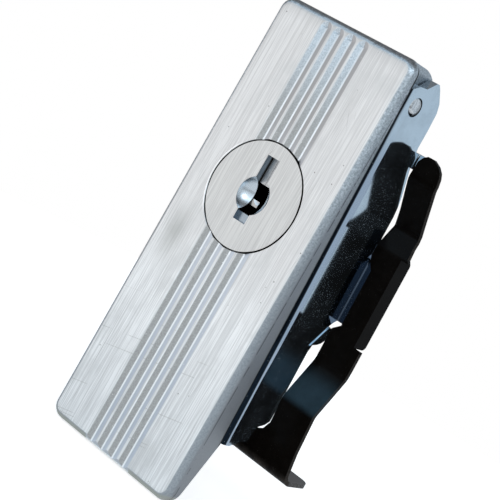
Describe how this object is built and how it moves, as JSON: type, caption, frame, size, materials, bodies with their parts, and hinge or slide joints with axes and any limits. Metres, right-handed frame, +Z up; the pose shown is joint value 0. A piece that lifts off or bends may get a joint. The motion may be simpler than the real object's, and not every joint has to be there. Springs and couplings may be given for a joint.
{
  "type": "flush handle panel lock",
  "caption": "Keyed panel lock with a grooved swing-out handle block, hinged in a folded steel housing that a horseshoe spring clip holds in a panel.",
  "frame": {"origin": "centre of the lock disc on the handle's face", "axes": "+X to the right across the face, +Y into the panel, +Z up along the housing"},
  "size_m": [0.0454, 0.027, 0.0817],
  "materials": {
    "cast_alloy": "brushed lengthwise face, satin tumbled edges",
    "plug_alloy": "brushed face, polished dish",
    "brass_plate": "plain rolled plate",
    "steel_plate": "zinc plated, satin",
    "zinc_steel": "bright bluish zinc plating",
    "pin_steel": "turned and plated",
    "spring_wire": "drawn spring wire",
    "black_spring_steel": "semi-gloss black oxide"
  },
  "bodies": {
    "housing_body": {"housing": "zinc_steel", "hinge_pin": "pin_steel", "spring_clip": "black_spring_steel"},
    "handle_body": {"handle_block": "cast_alloy", "latch_hook": "steel_plate", "cross_pin": "pin_steel", "plug_washer": "steel_plate", "return_spring": "spring_wire"},
    "plug_body": {"lock_plug": "plug_alloy", "locking_cam": "steel_plate", "cam_lock_washer": "steel_plate", "cam_screw": "steel_plate"},
    "tumbler_body": {"tumblers": "brass_plate"}
  },
  "joints": [
    {"name": "handle_swing", "type": "hinge", "parent": "housing_body", "child": "handle_body", "pos_m": [0, 0.00734, 0.0251], "axis": [-1, 0, 0], "range_deg": [0, 70], "stiffness_Nm_per_rad": 0.02, "springref_deg": -34.38, "deforming": ["return_spring"]},
    {"name": "plug_turn", "type": "hinge", "parent": "handle_body", "child": "plug_body", "pos_m": [0, 0, 0], "axis": [0, 0.9985, -0.0555], "range_deg": [0, 90]},
    {"name": "tumbler_lift", "type": "slide", "parent": "plug_body", "child": "tumbler_body", "axis": [0, 0.0555, 0.9985], "range_m": [0, 0.0007], "stiffness_N_per_m": 60, "springref_m": -0.001}
  ]
}
